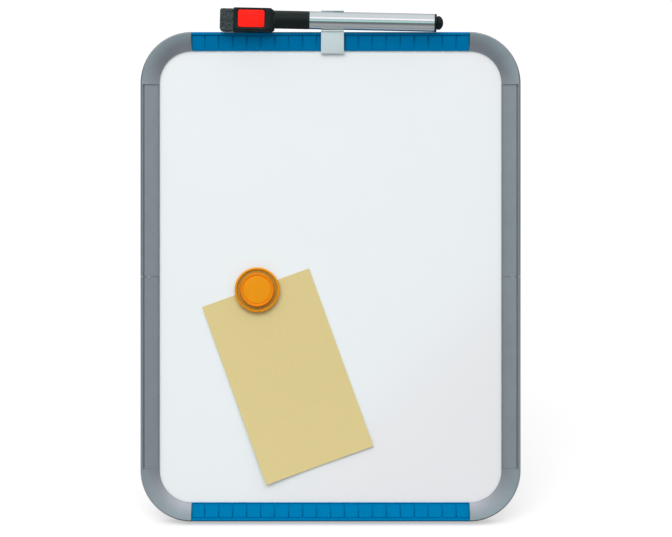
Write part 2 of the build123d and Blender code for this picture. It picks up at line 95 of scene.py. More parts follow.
CAP_ROLL = math.radians(3.0)
CAP_RADIUS = 5.15
CAP_BORE = 4.35
CAP_DEPTH = 18.8
HOLDER_START = -19.8
HOLDER_END = -42.9
HOLDER_LOW = -7.6
HOLDER_HIGH = 5.9
HOLDER_FRONT = 6.2
HOLDER_BACK = -6.4
HOLDER_FRONT_CUT = 1.9
FELT_REACH = 7.6
FELT_ROUGHNESS = 0.09
LABEL_SIZE = (15.0, 9.9)
LABEL_SPOT = (-32.9, -0.5)
LABEL_SEAT = 0.45
NOTE_MIDDLE = (-24.4, -56.85)
NOTE_SIZE = (64.7, 107.5)
NOTE_TURN = math.radians(19.9)
NOTE_TOP = 0.3
NOTE_THICKNESS = 0.2
MAGNET_SPOT = (-41.7, -7.55)
SCREW_SPACING = 54.0
HINGE_UP = 54.0
PAD_SPACING = 116.0
MERGE_WITHIN = 0.002

BOARD = middle("writing_sheet") + OUT * (SHEET_THICKNESS / 2 * MM)


def at(x, y, z):
    """Point in metres from millimetres across the board, up it and out of its writing face."""
    return BOARD + (RIGHT * x + UP * y + OUT * z) * MM


# ---- Shader wiring ----
def wire(tree, kind, sockets=None, **settings):
    """One node; each socket gets another node's output or a plain value."""
    node = tree.nodes.new(kind)
    for key, value in settings.items():
        setattr(node, key, value)
    for key, value in (sockets or {}).items():
        if isinstance(value, bpy.types.NodeSocket):
            tree.links.new(value, node.inputs[key])
        else:
            node.inputs[key].default_value = value
    return node


def calc(tree, operation, first, second, clamp=False):
    return wire(tree, "ShaderNodeMath", {0: first, 1: second}, operation=operation, use_clamp=clamp).outputs[0]


def blend_color(tree, share, first, second):
    node = wire(tree, "ShaderNodeMix", data_type="RGBA")
    for socket, value in ((node.inputs[0], share), (node.inputs[6], first), (node.inputs[7], second)):
        if isinstance(value, bpy.types.NodeSocket):
            tree.links.new(value, socket)
        else:
            socket.default_value = value
    return node.outputs[2]


def spread(tree, value, low, high, to_low=0.0, to_high=1.0):
    return wire(
        tree,
        "ShaderNodeMapRange",
        {"Value": value, "From Min": low, "From Max": high, "To Min": to_low, "To Max": to_high},
    ).outputs["Result"]


def effect(name, inputs, outputs):
    """Empty shader group with named sockets; gives its tree and its input and output nodes."""
    tree = bpy.data.node_groups.new(name, "ShaderNodeTree")
    for label, kind, value in inputs:
        tree.interface.new_socket(label, in_out="INPUT", socket_type=kind).default_value = value
    for label, kind in outputs:
        tree.interface.new_socket(label, in_out="OUTPUT", socket_type=kind)
    return tree, tree.nodes.new("NodeGroupInput").outputs, tree.nodes.new("NodeGroupOutput").inputs


def in_millimetres(tree):
    place = tree.nodes.new("ShaderNodeTexCoord").outputs["Object"]
    return wire(tree, "ShaderNodeVectorMath", {0: place, "Scale": 1 / MM}, operation="SCALE").outputs[0]


def noise(tree, vector, size, detail=3.0, roughness=0.5):
    """Noise between 0 and 1 whose lumps are about as wide as size, in millimetres."""
    scale = calc(tree, "DIVIDE", 1.0, size)
    sockets = {"Vector": vector, "Scale": scale, "Detail": detail, "Roughness": roughness}
    return wire(tree, "ShaderNodeTexNoise", sockets).outputs["Fac"]


FLOAT = "NodeSocketFloat"
COLOR = "NodeSocketColor"

# Colour that wanders a little in soft patches, and a fine grain for roughness and relief.
grain_tree, given, result = effect(
    "Moulding grain",
    [
        ("Color", COLOR, (0.5, 0.5, 0.5, 1)),
        ("Shade", FLOAT, 0.05),
        ("Patch size", FLOAT, 20.0),
        ("Grain size", FLOAT, 0.5),
    ],
    [("Color", COLOR), ("Grain", FLOAT)],
)
place = in_millimetres(grain_tree)
patches = noise(grain_tree, place, given["Patch size"])
swing = calc(grain_tree, "MULTIPLY", calc(grain_tree, "SUBTRACT", patches, 0.5), given["Shade"])
fine = noise(grain_tree, place, given["Grain size"], 2.0)
level = calc(grain_tree, "ADD", 1.0, calc(grain_tree, "MULTIPLY", swing, 2.0))
tinted = wire(grain_tree, "ShaderNodeHueSaturation", {"Color": given["Color"], "Value": level})
grain_tree.links.new(tinted.outputs[0], result["Color"])
grain_tree.links.new(fine, result["Grain"])

# Mask that is white along edges, broken up in patches: rubbed edges, and on some finishes a painted highlight along the
# edges.
wear_and_highlight_tree, given, result = effect(
    "Edge wear",
    [("Width", FLOAT, 0.4), ("Amount", FLOAT, 0.5), ("Patch size", FLOAT, 4.0)],
    [("Mask", FLOAT)],
)
width = calc(wear_and_highlight_tree, "MULTIPLY", given["Width"], MM)
rounded_normal = wire(wear_and_highlight_tree, "ShaderNodeBevel", {"Radius": width}, samples=6).outputs[0]
flat_normal = wear_and_highlight_tree.nodes.new("ShaderNodeNewGeometry").outputs["Normal"]
likeness = wire(wear_and_highlight_tree, "ShaderNodeVectorMath", {0: rounded_normal, 1: flat_normal}, operation="DOT_PRODUCT")
edge = spread(wear_and_highlight_tree, likeness.outputs["Value"], 0.995, 0.9)
broken = spread(wear_and_highlight_tree, noise(wear_and_highlight_tree, in_millimetres(wear_and_highlight_tree), given["Patch size"], 4.0), 0.42, 0.6)
mask = calc(wear_and_highlight_tree, "MULTIPLY", calc(wear_and_highlight_tree, "MULTIPLY", edge, broken), given["Amount"], True)
wear_and_highlight_tree.links.new(mask, result["Mask"])

# Mask for the dust that settles on what faces up.
dust_tree, given, result = effect(
    "Settled dust", [("Amount", FLOAT, 0.2), ("Patch size", FLOAT, 6.0)], [("Mask", FLOAT)]
)
facing = dust_tree.nodes.new("ShaderNodeNewGeometry").outputs["Normal"]
upward = spread(dust_tree, wire(dust_tree, "ShaderNodeSeparateXYZ", {0: facing}).outputs[2], 0.2, 0.95)
cloud = spread(dust_tree, noise(dust_tree, in_millimetres(dust_tree), given["Patch size"], 5.0, 0.65), 0.35, 0.75)
mask = calc(dust_tree, "MULTIPLY", calc(dust_tree, "MULTIPLY", upward, cloud), given["Amount"], True)
dust_tree.links.new(mask, result["Mask"])

# Mask of hairline scratches that run in a few directions.
scratch_tree, given, result = effect(
    "Fine scratches", [("Length", FLOAT, 30.0), ("Amount", FLOAT, 0.3)], [("Mask", FLOAT)]
)
place = in_millimetres(scratch_tree)
lines = None
for turn, offset in ((0.35, 0.0), (1.25, 40.0), (2.3, 90.0)):
    turned_place = wire(
        scratch_tree,
        "ShaderNodeMapping",
        {"Vector": place, "Rotation": (0.2, turn, turn / 2), "Location": (offset, 0, offset)},
    ).outputs[0]
    drawn_out = wire(
        scratch_tree,
        "ShaderNodeVectorMath",
        {0: turned_place, 1: (0.04, 3.0, 3.0)},
        operation="MULTIPLY",
    ).outputs[0]
    streak = spread(scratch_tree, noise(scratch_tree, drawn_out, 1.0, 1.0), 0.72, 0.78)
    sparse = spread(scratch_tree, noise(scratch_tree, turned_place, given["Length"], 2.0), 0.5, 0.62)
    line = calc(scratch_tree, "MULTIPLY", streak, sparse)
    lines = line if lines is None else calc(scratch_tree, "MAXIMUM", lines, line)
scratch_tree.links.new(calc(scratch_tree, "MULTIPLY", lines, given["Amount"], True), result["Mask"])

# Mask of small light flecks, as in felt pressed from mixed fibres.
fleck_tree, given, result = effect("Flecks", [("Size", FLOAT, 0.8)], [("Mask", FLOAT)])
mottled = noise(fleck_tree, in_millimetres(fleck_tree), given["Size"], 3.0, 0.7)
fleck_tree.links.new(spread(fleck_tree, mottled, 0.44, 0.66), result["Mask"])


def grouped(tree, group, **values):
    node = wire(tree, "ShaderNodeGroup", node_tree=group)
    for key, value in values.items():
        node.inputs[key.replace("_", " ").capitalize()].default_value = value
    return node


def finish_of(
    name,
    color,
    roughness,
    shade=0.04,
    patch=20.0,
    grain=0.5,
    relief=0.01,
    rough_swing=0.06,
    wear_and_highlight=0.25,
    wear_width=0.35,
    worn_and_highlight_color=None,
    dust=0.05,
    scratches=0.0,
    fleck=None,
    fleck_size=1.0,
    **shader,
):
    """Finish with patchy colour, fine grain, edges tinted for rubbing and on some finishes as a painted highlight, dust
    and hairline scratches.
    """
    material = bpy.data.materials.new(name)
    material.use_nodes = True
    tree = material.node_tree
    principled = tree.nodes["Principled BSDF"]
    for key, value in shader.items():
        principled.inputs[key.replace("_", " ")].default_value = value
    surface = grouped(tree, grain_tree, color=(*color, 1), shade=shade, patch_size=patch, grain_size=grain)
    seen = surface.outputs["Color"]
    rough = spread(tree, surface.outputs["Grain"], 0.25, 0.75, roughness - rough_swing, roughness + rough_swing)
    if fleck:
        flecks = grouped(tree, fleck_tree, size=fleck_size).outputs[0]
        seen = blend_color(tree, flecks, seen, (*fleck, 1))
    # Edges take a tint: rubbed wear, and on the black gloss and blue rail finishes a painted highlight.
    if wear_and_highlight:
        edges = grouped(tree, wear_and_highlight_tree, width=wear_width, amount=wear_and_highlight, patch_size=4.0).outputs[0]
        rubbed_and_lit_edge = worn_and_highlight_color or tuple(min(1, channel * 1.25 + 0.05) for channel in color)
        seen = blend_color(tree, edges, seen, (*rubbed_and_lit_edge, 1))
    if dust:
        settled = grouped(tree, dust_tree, amount=dust, patch_size=5.0).outputs[0]
        seen = blend_color(tree, settled, seen, (0.62, 0.61, 0.59, 1))
        rough = calc(tree, "ADD", rough, calc(tree, "MULTIPLY", settled, 0.5))
    if scratches:
        marks = grouped(tree, scratch_tree, length=25.0, amount=scratches).outputs[0]
        rough = calc(tree, "ADD", rough, calc(tree, "MULTIPLY", marks, 0.4))
    tree.links.new(seen, principled.inputs["Base Color"])
    tree.links.new(rough, principled.inputs["Roughness"])
    if relief:
        bump = wire(tree, "ShaderNodeBump", {"Height": surface.outputs["Grain"], "Distance": relief * MM})
        tree.links.new(bump.outputs[0], principled.inputs["Normal"])
    return material


finishes = {
    "white_enamel": finish_of(
        "White enamel", (0.726, 0.727, 0.748), 0.3, 0.012, 60, 3.0, 0.002, 0.02, 0, dust=0, scratches=0.1,
        Coat_Weight=1.0, Coat_Roughness=0.12, Coat_IOR=1.8,
    ),
    "fibreboard": finish_of("Fibreboard", (0.4, 0.27, 0.15), 0.85, 0.2, 2.0, 0.3, 0.05, wear_and_highlight=0),
    "steel_backing": finish_of("Grey painted steel", (0.42, 0.43, 0.44), 0.42, 0.03, 50, 0.8, 0.01, scratches=0.3),
    "grey_moulding": finish_of(
        "Grey moulding", (0.295, 0.328, 0.362), 0.36, 0.08, 9, 0.35, 0.006, wear_and_highlight=0.2, scratches=0.1, Metallic=0.8
    ),
    # The rail's lighter blue edge tint is mostly a painted highlight that brightens the crests; partly rubbed wear.
    "blue_rail": finish_of(
        "Blue rail", (0.0, 0.155, 0.36), 0.42, 0.06, 5, 0.3, 0.004, wear_and_highlight=0.6, worn_and_highlight_color=(0.0, 0.25, 0.5), dust=0,
        Specular_IOR_Level=0.15, Specular_Tint=(0.0, 0.7, 1.0, 1),
    ),
    "joiner_plastic": finish_of("Joiner plastic", (0.1, 0.1, 0.11), 0.55),
    "foot_rubber": finish_of("Foot rubber", (0.025, 0.025, 0.026), 0.7, 0.1, 6, 0.4, 0.03, dust=0.15),
    "grey_bracket": finish_of("Grey textured plastic", (0.17, 0.175, 0.18), 0.5, 0.05, 15, 0.45, 0.03, dust=0.08),
    "zinc_steel": finish_of("Zinc plate", (0.6, 0.61, 0.62), 0.3, 0.08, 3, 0.3, 0.004, Metallic=1.0),
    "clip_plastic": finish_of("Clip plastic", (0.61, 0.72, 0.74), 0.28, 0.03, 8, 0.4, 0.004, wear_and_highlight=0.1),
    "silver_barrel": finish_of(
        "Silver barrel", (0.46, 0.5, 0.52), 0.14, 0.03, 12, 0.2, 0.001, 0.02, wear_and_highlight=0, dust=0, Metallic=1.0
    ),
    "nib_fibre": finish_of("Nib fibre", (0.03, 0.03, 0.05), 0.9, 0.2, 0.6, 0.12, 0.05, wear_and_highlight=0, dust=0),
    "reservoir_fibre": finish_of("Wadding", (0.75, 0.76, 0.78), 0.9, 0.1, 2, 0.2, 0.05, wear_and_highlight=0, dust=0),
    # The black plastic's teal edge tint is a painted highlight along the cap's edges.
    "black_gloss": finish_of(
        "Black gloss plastic", (0.004, 0.008, 0.008), 0.45, 0.1, 10, 0.4, 0.004, wear_and_highlight=0.8, wear_width=0.5,
        worn_and_highlight_color=(0.012, 0.075, 0.075), dust=0.01, Specular_IOR_Level=0.16,
    ),
    "ferrite": finish_of("Ferrite", (0.06, 0.06, 0.065), 0.6, 0.1, 2, 0.2, 0.02),
    "red_label": finish_of(
        "Red label", (0.85, 0.012, 0.006), 0.4, 0.03, 6, 0.3, 0.002, wear_and_highlight=0.1, dust=0, Specular_IOR_Level=0.08
    ),
    "grey_felt": finish_of(
        "Grey felt", (0.024, 0.034, 0.038), 0.95, 0.2, 2.0, 0.3, 0.2, wear_and_highlight=0, dust=0,
        fleck=(0.11, 0.135, 0.14), fleck_size=0.75,
    ),
    "yellow_paper": finish_of(
        "Yellow paper", (0.62, 0.52, 0.242), 0.85, 0.035, 1.6, 0.25, 0.012, wear_and_highlight=0, dust=0, Specular_IOR_Level=0.2
    ),
    "orange_plastic": finish_of(
        "Orange plastic", (0.72, 0.26, 0.003), 0.4, 0.03, 6, 0.4, 0.003, wear_and_highlight=0.1, dust=0, Specular_IOR_Level=0.1
    ),
}

# Painted shade on the magnet: its channel is painted browner, standing in for the shade in that recess, and the sloping
# ring inside the channel a deeper orange, standing in for the shade on that slope. Each band fades in and out between
# the radii in millimetres: fade in from, fade in to, fade out from, fade out to.
MAGNET_SHADE_BANDS = (
    ((9.4, 9.9, 11.4, 11.9), (0.43, 0.21, 0.03, 1)),
    ((7.7, 8.1, 9.4, 9.8), (0.72, 0.2, 0.002, 1)),
)
MAGNET_FOOT = at(*MAGNET_SPOT, NOTE_TOP)
tree = finishes["orange_plastic"].node_tree
place = tree.nodes.new("ShaderNodeTexCoord").outputs["Object"]
place = wire(tree, "ShaderNodeVectorMath", {0: place, 1: MAGNET_FOOT}, operation="SUBTRACT")
aside = wire(tree, "ShaderNodeVectorMath", {0: place.outputs[0], 1: OUT}, operation="CROSS_PRODUCT")
reach = wire(tree, "ShaderNodeVectorMath", {0: aside.outputs[0]}, operation="LENGTH").outputs["Value"]
socket = tree.nodes["Principled BSDF"].inputs["Base Color"]
for (in_from, in_to, out_from, out_to), color in MAGNET_SHADE_BANDS:
    rising = spread(tree, reach, in_from * MM, in_to * MM)
    shade_band = calc(tree, "MULTIPLY", rising, spread(tree, reach, out_to * MM, out_from * MM))
    tree.links.new(blend_color(tree, shade_band, socket.links[0].from_socket, color), socket)

# ---- Every CAD node takes the finish of its slot ----
slots = {part["node"]: part["material_slot"] for part in frame["record"]["subparts"]}
bodies = {node: body for body, nodes in frame["record"]["behaviour"]["bodies"].items() for node in nodes}
for node, shape in frame["nodes"].items():
    shape.data.materials.clear()
    shape.data.materials.append(finishes[slots[node]])

# ---- Making shapes ----
def soften(outline, steps):
    """Closed outline whose corners are rounded; each corner is (x, y, cut), cut being how far back it starts.
    A point just before and just after each rounded corner keeps the flats flat under smooth shading."""
    corners = [Vector(corner[:2]) for corner in outline]
    rounded = []
    for index, corner in enumerate(corners):
        cut = outline[index][2]
        if cut == 0:
            rounded.append(corner)
            continue
        ends = []
        for other in (index - 1, (index + 1) % len(corners)):
            way = corners[other] - corner
            free = way.length - cut - outline[other][2]
            way.normalize()
            ends += [corner + way * (cut + min(0.2, max(0.005, free * 0.3))), corner + way * cut]
        before, start, after, end = ends
        curve = [start.lerp(corner, t / steps).lerp(corner.lerp(end, t / steps), t / steps) for t in range(steps + 1)]
        rounded += [before, *curve, after]
    return rounded


def shrunk(outline, amount):
    """The same closed outline, moved inwards by amount."""
    pairs = list(zip(outline, outline[1:] + outline[:1]))
    side = 1 if sum(a.x * b.y - b.x * a.y for a, b in pairs) > 0 else -1
    moved = []
    for index, point in enumerate(outline):
        back = (point - outline[index - 1]).normalized()
        ahead = (outline[(index + 1) % len(outline)] - point).normalized()
        way = back + ahead
        way = way.normalized() if way.length > 1e-6 else back
        lean = max(0.5, way.dot(ahead))
        moved.append(point + Vector((-way.y, way.x)) * (side * amount / lean))
    return moved


def skin(rings):
    """Points and faces of a form with flat ends, through rings with equal counts."""
    count = len(rings[0])
    points = [point for ring in rings for point in ring]
    faces = []
    last = (len(rings) - 1) * count
    for here in range(0, last, count):
        for side in range(count):
            ahead = (side + 1) % count
            faces.append((here + side, here + ahead, here + count + ahead, here + count + side))
    faces.append(tuple(range(count))[::-1])
    faces.append(tuple(range(last, last + count)))
    return points, faces


def turned(outline, origin, axis, turns, whole):
    """Outline of (distance along the axis, radius) turned about it; whole when the outline closes on itself."""
    side = axis.orthogonal().normalized()
    other = axis.cross(side)
    rings = []
    for turn in range(turns):
        angle = math.tau * turn / turns
        way = side * math.cos(angle) + other * math.sin(angle)
        rings.append([origin + (axis * along + way * radius) * MM for along, radius in outline])
    count = len(outline)
    points = [point for ring in rings for point in ring]
    faces = []
    for turn in range(turns):
        here, there = turn * count, (turn + 1) % turns * count
        for index in range(count if whole else count - 1):
            ahead = (index + 1) % count
            faces.append((here + index, here + ahead, there + ahead, there + index))
    return points, faces


def curve_of(outline, steps):
    """Open outline of (x, y, cut) with its inner corners rounded."""
    points = [Vector(outline[0][:2])]
    for before, corner, after in zip(outline, outline[1:], outline[2:]):
        middle_point, cut = Vector(corner[:2]), corner[2]
        if cut == 0:
            points.append(middle_point)
            continue
        start = middle_point + (Vector(before[:2]) - middle_point).normalized() * cut
        end = middle_point + (Vector(after[:2]) - middle_point).normalized() * cut
        for step in range(steps + 1):
            t = step / steps
            points.append(start * (1 - t) ** 2 + middle_point * 2 * t * (1 - t) + end * t**2)
    return points + [Vector(outline[-1][:2])]


def mesh_of(name, points, faces, cut_at_desk=False):
    """Merged mesh with faces that point outwards."""
    mesh = bpy.data.meshes.new(name)
    mesh.from_pydata(points, [], faces)
    form = bmesh.new()
    form.from_mesh(mesh)
    bmesh.ops.remove_doubles(form, verts=form.verts, dist=MERGE_WITHIN * MM)
    bmesh.ops.dissolve_degenerate(form, edges=form.edges, dist=0.0005 * MM)
    if cut_at_desk:
        everything = form.verts[:] + form.edges[:] + form.faces[:]
        cut = bmesh.ops.bisect_plane(
            form, geom=everything, plane_co=(0, 0, DESK_LAND * MM), plane_no=(0, 0, -1), clear_outer=True
        )
        rim = [part for part in cut["geom_cut"] if isinstance(part, bmesh.types.BMEdge)]
        bmesh.ops.contextual_create(form, geom=rim)
    bmesh.ops.recalc_face_normals(form, faces=form.faces)
    form.to_mesh(mesh)
    form.free()
    return mesh


def show(name, mesh, finish, body, stands_for, crease=35):
    """Puts a finished mesh in the scene with its finish, under its body, and hides the CAD nodes it stands for."""
    piece = bpy.data.objects.new(name.replace(" ", "_") + "_shown", mesh)
    bpy.context.scene.collection.objects.link(piece)
    mesh.materials.clear()
    mesh.materials.append(finishes[finish])
    mesh.shade_smooth()
    mesh.set_sharp_from_angle(angle=math.radians(crease))
    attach(piece, body)
    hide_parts(*stands_for)
    return piece


def on_bench(mesh):
    """Passing object that holds a mesh while modifiers work on it."""
    bench = bpy.data.objects.new("Bench", mesh)
    bpy.context.scene.collection.objects.link(bench)
    return bench


def taken_from(bench):
    """The bench's mesh with its modifiers applied; the bench goes."""
    bpy.context.view_layer.update()
    result = bpy.data.meshes.new_from_object(bench.evaluated_get(bpy.context.evaluated_depsgraph_get()))
    bpy.data.objects.remove(bench)
    return result


def baked(mesh, *modifiers):
    """The mesh after each (type, settings) modifier, taken one after another."""
    bench = on_bench(mesh)
    for kind, settings in modifiers:
        modifier = bench.modifiers.new(kind.title(), kind)
        for key, value in settings.items():
            setattr(modifier, key, value)
    return taken_from(bench)


def bevel_by(width, segments=3, angle=32):
    return "BEVEL", {
        "width": width * MM,
        "segments": segments,
        "limit_method": "ANGLE",
        "angle_limit": math.radians(angle),
        "harden_normals": False,
        "use_clamp_overlap": True,
    }


def eased(node, width):
    """A CAD node's shape with its edges eased, in place of the node."""
    shape = frame["nodes"][node]
    form = bmesh.new()
    form.from_mesh(shape.data)
    bmesh.ops.remove_doubles(form, verts=form.verts, dist=MERGE_WITHIN * MM)
    bmesh.ops.dissolve_limit(form, angle_limit=math.radians(1), verts=form.verts, edges=form.edges)
    mesh = bpy.data.meshes.new(node)
    form.to_mesh(mesh)
    form.free()
    name = node.replace("_", " ").capitalize()
    return show(name, baked(mesh, bevel_by(width)), slots[node], bodies[node], (node,))


def joined(*meshes):
    """One mesh out of several."""
    form = bmesh.new()
    for mesh in meshes:
        form.from_mesh(mesh)
    result = bpy.data.meshes.new(meshes[0].name)
    form.to_mesh(result)
    form.free()
    return result


# ---- Geometry Nodes ----
def node_tree(name, inputs):
    """Geometry tree with named inputs; gives the tree, its inputs and its result socket."""
    tree = bpy.data.node_groups.new(name, "GeometryNodeTree")
    tree.interface.new_socket("Geometry", in_out="INPUT", socket_type="NodeSocketGeometry")
    for label, kind, value in inputs:
        socket = tree.interface.new_socket(label, in_out="INPUT", socket_type=kind)
        if value is not None:
            socket.default_value = value
    tree.interface.new_socket("Geometry", in_out="OUTPUT", socket_type="NodeSocketGeometry")
    given = tree.nodes.new("NodeGroupInput").outputs
    result = tree.nodes.new("NodeGroupOutput").inputs["Geometry"]
    return tree, given, result


def grown(mesh, tree, **values):
    """The mesh after a geometry tree, as a plain mesh."""
    bench = on_bench(mesh)
    modifier = bench.modifiers.new("Tree", "NODES")
    modifier.node_group = tree
    for item in tree.interface.items_tree:
        key = item.name.lower().replace(" ", "_")
        if item.in_out == "INPUT" and key in values:
            modifier[item.identifier] = values[key]
    return taken_from(bench)


# Copies of a shape in a row, centred on where it stands, with touching copies merged.
row_tree, given, result = node_tree(
    "Copies in a row",
    [
        ("Count", "NodeSocketInt", 2),
        ("Step", "NodeSocketVector", (0.01, 0, 0)),
        ("Merge within", "NodeSocketFloat", 0.000002),
        ("Finish", "NodeSocketMaterial", None),
    ],
)
gaps = wire(row_tree, "ShaderNodeMath", {0: given["Count"], 1: 1.0}, operation="SUBTRACT").outputs[0]
back = wire(row_tree, "ShaderNodeMath", {0: gaps, 1: -0.5}, operation="MULTIPLY").outputs[0]
start = wire(row_tree, "ShaderNodeVectorMath", {0: given["Step"], "Scale": back}, operation="SCALE").outputs[0]
spots = wire(
    row_tree,
    "GeometryNodeMeshLine",
    {"Count": given["Count"], "Start Location": start, "Offset": given["Step"]},
)
copies = wire(row_tree, "GeometryNodeInstanceOnPoints", {"Points": spots.outputs[0], "Instance": given["Geometry"]})
plain = wire(row_tree, "GeometryNodeRealizeInstances", {0: copies.outputs[0]})
merged = wire(
    row_tree,
    "GeometryNodeMergeByDistance",
    {"Geometry": plain.outputs[0], "Distance": given["Merge within"]},
)
coated = wire(row_tree, "GeometryNodeSetMaterial", {"Geometry": merged.outputs[0], "Material": given["Finish"]})
row_tree.links.new(coated.outputs[0], result)

# Short fibres that stand out of a surface and lean every way.
pile_tree, given, result = node_tree(
    "Fibre pile",
    [
        ("Density", "NodeSocketFloat", 1.0),
        ("Length", "NodeSocketFloat", 0.0005),
        ("Radius", "NodeSocketFloat", 0.00006),
        ("Lean", "NodeSocketFloat", 0.9),
        ("Seed", "NodeSocketInt", 3),
        ("Finish", "NodeSocketMaterial", None),
    ],
)
scatter = wire(
    pile_tree,
    "GeometryNodeDistributePointsOnFaces",
    {"Mesh": given["Geometry"], "Density": given["Density"], "Seed": given["Seed"]},
)
fibre = wire(
    pile_tree,
    "GeometryNodeMeshCone",
    {"Vertices": 3, "Radius Top": 0.0, "Radius Bottom": given["Radius"], "Depth": given["Length"]},
)
tilt_limit = wire(
    pile_tree,
    "ShaderNodeVectorMath",
    {0: (1, 1, 3), "Scale": given["Lean"]},
    operation="SCALE",
).outputs[0]
tilt_back = wire(pile_tree, "ShaderNodeVectorMath", {0: tilt_limit, "Scale": -1.0}, operation="SCALE").outputs[0]
tilt = wire(pile_tree, "FunctionNodeRandomValue", data_type="FLOAT_VECTOR")
pile_tree.links.new(tilt_back, tilt.inputs[0])
pile_tree.links.new(tilt_limit, tilt.inputs[1])
pile_tree.links.new(given["Seed"], tilt.inputs["Seed"])
standing = wire(
    pile_tree,
    "GeometryNodeInstanceOnPoints",
    {
        "Points": scatter.outputs["Points"],
        "Instance": fibre.outputs["Mesh"],
        "Rotation": scatter.outputs["Rotation"],
    },
)
leaning = wire(
    pile_tree,
    "GeometryNodeRotateInstances",
    {"Instances": standing.outputs[0], "Rotation": tilt.outputs[0]},
)
plain = wire(pile_tree, "GeometryNodeRealizeInstances", {0: leaning.outputs[0]})
coated = wire(pile_tree, "GeometryNodeSetMaterial", {"Geometry": plain.outputs[0], "Material": given["Finish"]})
pile_tree.links.new(coated.outputs[0], result)


# ---- Frame ----
def front_height(distance, inset, drop):
    """Height of a bar's front, which falls from the crest to the inner edge."""
    crest = inset + CREST_INSET
    fall = CREST_HEIGHT - drop - LIP_HEIGHT
    return CREST_HEIGHT - drop - fall * (distance - crest) / (BAR_WIDTH - crest)


def bar_outline(
    inset, drop, rim, inner_rim, depth, channel_width, channel_depth, groove=0.0, crown=0.0, crest_cut=0.62
):
    """Section of a bar: distance in from the frame's edge and height, with its sunk panel, the narrow channel
    beside the panel and a groove across it."""
    outer = inset + rim
    foot = outer + 0.15
    inner = BAR_WIDTH - inner_rim
    bed = foot + channel_width + 0.2
    lip_loss = groove * 1.2
    channel = depth + channel_depth

    def face(distance):
        share = (distance - outer) / (BAR_WIDTH - outer)
        return front_height(distance, inset, drop) + crown * 4 * share * (1 - share)

    across = [(bed + (inner - bed) * step / 5, groove * (1.8 - 0.26 * step)) for step in range(1, 5)]
    return soften(
        [
            (BAR_WIDTH, LIP_HEIGHT - lip_loss, 0.2),
            (BAR_WIDTH, 0, 0),
            (SLOT_INSET, 0, 0),
            (SLOT_INSET, -PANEL_BACK, 0),
            (REAR_LIP, -PANEL_BACK, 0.3),
            (REAR_LIP, -FRAME_BACK, 0.8),
            (inset, -FRAME_BACK, 0.8),
            (inset, WIDEST_HEIGHT, 1.2),
            (inset + CREST_INSET, CREST_HEIGHT - drop, crest_cut),
            (outer, face(outer), 0.1),
            (foot, face(foot) - channel, 0.08),
            (foot + channel_width, face(foot + channel_width) - channel, 0.08),
            (bed, face(bed) - depth - groove * 1.8, 0.1),
            *[(distance, face(distance) - depth - below, 0) for distance, below in across],
            (inner, face(inner) - depth - groove * 0.5, 0.08),
            (inner + 0.12, face(inner + 0.12) - groove * 1.6, 0.05),
        ],
        3,
    )


def ring_on(outline, edge, inward):
    """Section set on the board: edge is a place on the frame's outer edge, inward the way to its middle."""
    return [at(edge[0] + inward[0] * point.x, edge[1] + inward[1] * point.x, point.y) for point in outline]


def corner_mesh(name, across, up):
    """One corner moulding, from the seam at mid-height to the end of its rail; across and up are 1 or -1."""
    flat = bar_outline(0, 0, CORNER_RIM, 0.6, 0.0, 0.6, 0.0, crown=0.35)
    sunk = bar_outline(0, 0, CORNER_RIM, 0.6, 0.7, 0.6, 1.0, crown=0.1)
    rings = []
    for y, section in (
        (SEAM, shrunk(sunk, 0.05)),
        (SEAM + 0.05, sunk),
        (SEAM + 0.4, sunk),
        (PANEL_END - 2 * PANEL_RAMP, sunk),
        (PANEL_END - PANEL_RAMP, sunk),
        (PANEL_END, flat),
        (PANEL_END + 0.2, flat),
    ):
        rings.append(ring_on(section, (across * HALF_WIDTH, up * y), (-across, 0)))
    centre = Vector((HALF_WIDTH - CORNER_RADIUS, HALF_HEIGHT - CORNER_RADIUS))
    steps = 28
    last = math.pi / 2
    angles = [last * step / steps for step in range(steps)]
    angles += [last - 0.14 / CORNER_RADIUS, last - 0.05 / CORNER_RADIUS, last]
    sections = [flat] * (steps + 1) + [shrunk(flat, 0.05), shrunk(flat, 0.14)]
    for angle, section in zip(angles, sections):
        way = Vector((math.cos(angle), math.sin(angle)))
        edge = centre + way * CORNER_RADIUS
        rings.append(ring_on(section, (across * edge.x, up * edge.y), (-across * way.x, -up * way.y)))
    return mesh_of(name, *skin(rings), cut_at_desk=up < 0)


for up, level in ((1, "upper"), (-1, "lower")):
    for across, side in ((-1, "left"), (1, "right")):
        node = f"{level}_{side}_corner"
        show(node.replace("_", " ").capitalize(), corner_mesh(node, across, up), "grey_moulding", "board", (node,))


def rail_outline(groove=0.0):
    return bar_outline(RAIL_INSET, RAIL_DROP, RAIL_RIM, 0.5, 0.6, 0.22, 0.35, groove, crest_cut=0.28)


